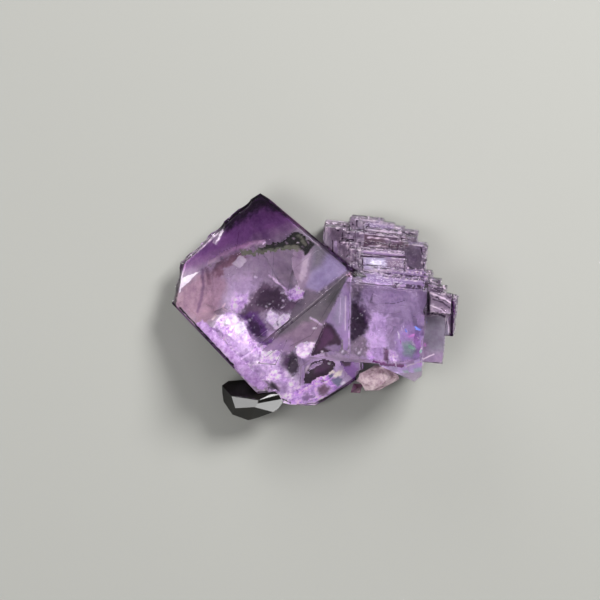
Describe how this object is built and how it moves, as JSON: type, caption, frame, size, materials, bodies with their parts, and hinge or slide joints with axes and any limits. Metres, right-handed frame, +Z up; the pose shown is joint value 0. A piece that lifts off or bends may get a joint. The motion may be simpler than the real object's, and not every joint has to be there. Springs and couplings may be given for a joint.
{
  "type": "fluorite octahedron",
  "caption": "Clear purple fluorite octahedron grown together with a stepped cluster of cubes, with a black sphalerite crystal on its edge, lying on its broken back.",
  "frame": {"origin": "middle of the bounding box's underside, on the flat base", "axes": "+Z up out of the base towards the show side; +X from the octahedron to the cluster of cubes; +Y towards the octahedron's apex"},
  "size_m": [0.03, 0.0238, 0.0139],
  "materials": {
    "purple_fluorite": "clear, glossy crystal faces, purple at the apex and lilac below",
    "frosted_fluorite": "frosted and granular, lilac white with purple hollows",
    "black_sphalerite": "mirror-bright black crystal faces",
    "brown_sphalerite": "glossy brown-purple crystal faces",
    "pale_matrix": "matt, granular, pinkish white"
  },
  "bodies": {
    "root": {"fluorite_crystal": "purple_fluorite", "frosted_druse": "frosted_fluorite", "black_sphalerite": "black_sphalerite", "brown_sphalerite": "brown_sphalerite", "matrix_crumb": "pale_matrix"}
  },
  "joints": []
}
